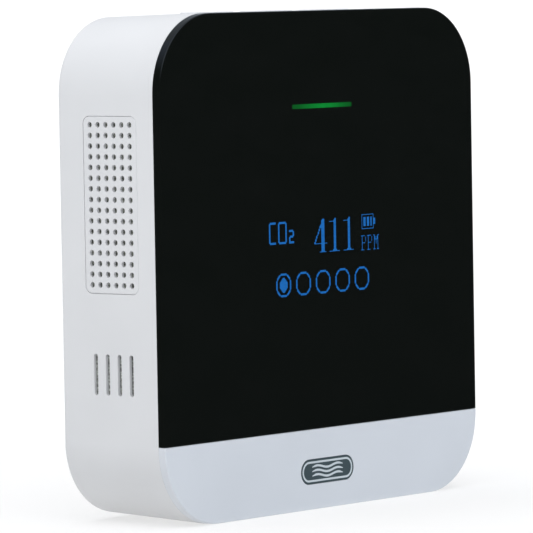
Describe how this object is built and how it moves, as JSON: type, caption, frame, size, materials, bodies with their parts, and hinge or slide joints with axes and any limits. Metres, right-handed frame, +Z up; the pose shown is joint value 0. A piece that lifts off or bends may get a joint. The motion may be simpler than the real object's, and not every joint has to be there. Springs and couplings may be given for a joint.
{
  "type": "carbon dioxide monitor",
  "caption": "Square white indoor carbon dioxide monitor with a black display front, side vent grille, sound slots and top keys.",
  "frame": {"origin": "under the middle of the body, on the surface that it stands on", "axes": "+Z up, the display faces -Y, +X to the right as seen from the front"},
  "size_m": [0.096, 0.026, 0.096],
  "materials": {
    "white_shell": "fine spark-eroded matte, cool white",
    "white_cover": "fine matte, cool white",
    "white_grille": "fine matte, cool white",
    "key_white": "satin, cool white",
    "black_panel": "polished black acrylic",
    "badge_slate": "satin dark slate",
    "badge_line": "pale grey line",
    "display_blue": "lit blue display pixels",
    "status_green": "lit green light bar",
    "adhesive": "black foam tape",
    "filter_black": "black open foam",
    "light_guide": "clear frosted polycarbonate",
    "led_body": "small light-emitting diode",
    "display_glass": "dark display glass",
    "bracket_black": "moulded black",
    "ribbon_amber": "polyimide ribbon",
    "connector_ivory": "ivory nylon",
    "board_green": "solder mask",
    "chip_black": "moulded epoxy",
    "inductor_grey": "ferrite",
    "sensor_steel": "tinned lid",
    "ceramic_tan": "sintered ceramic",
    "sounder_black": "moulded black",
    "pin_gold": "gold flash",
    "cell_gold": "gold-plated chamber",
    "membrane_white": "white membrane",
    "socket_steel": "stamped shell",
    "insert_black": "moulded black",
    "battery_foil": "laminated foil pouch",
    "lead_red": "silicone insulation",
    "screw_steel": "zinc plated",
    "label_silver": "blank printed film",
    "plunger_white": "moulded",
    "switch_black": "moulded"
  },
  "bodies": {
    "body": {"badge": "badge_slate", "battery_cell": "battery_foil", "battery_leads": "lead_red", "battery_plug": "connector_ivory", "battery_socket": "connector_ivory", "battery_tape": "adhesive", "board_screws": "screw_steel", "ceramic_capacitors": "ceramic_tan", "climate_sensor": "sensor_steel", "display_glass": "display_glass", "display_holder": "bracket_black", "display_ribbon": "ribbon_amber", "dust_filter": "filter_black", "front_frame": "white_cover", "front_panel": "black_panel", "housing_screws": "screw_steel", "left_switch_body": "switch_black", "light_guide": "light_guide", "main_board": "board_green", "main_housing": "white_shell", "microcontroller": "chip_black", "middle_switch_body": "switch_black", "panel_adhesive": "adhesive", "power_chip": "chip_black", "power_inductor": "inductor_grey", "rating_label": "label_silver", "ribbon_connector": "connector_ivory", "right_switch_body": "switch_black", "sensor_board": "board_green", "sensor_cell": "cell_gold", "sensor_filter": "membrane_white", "sensor_pins": "pin_gold", "sounder": "sounder_black", "status_leds": "led_body", "usb_insert": "insert_black", "usb_shell": "socket_steel", "vent_grille": "white_grille"},
    "left_key": {"left_button": "key_white", "left_switch_plunger": "plunger_white"},
    "middle_key": {"middle_button": "key_white", "middle_switch_plunger": "plunger_white"},
    "right_key": {"right_button": "key_white", "right_switch_plunger": "plunger_white"}
  },
  "joints": [
    {"name": "left_key_press", "type": "slide", "parent": "body", "child": "left_key", "axis": [0, 0, -1], "range_m": [0, 0.0004], "stiffness_N_per_m": 1500, "springref_m": -0.0004},
    {"name": "middle_key_press", "type": "slide", "parent": "body", "child": "middle_key", "axis": [0, 0, -1], "range_m": [0, 0.0004], "stiffness_N_per_m": 1500, "springref_m": -0.0004},
    {"name": "right_key_press", "type": "slide", "parent": "body", "child": "right_key", "axis": [0, 0, -1], "range_m": [0, 0.0004], "stiffness_N_per_m": 1500, "springref_m": -0.0004}
  ]
}
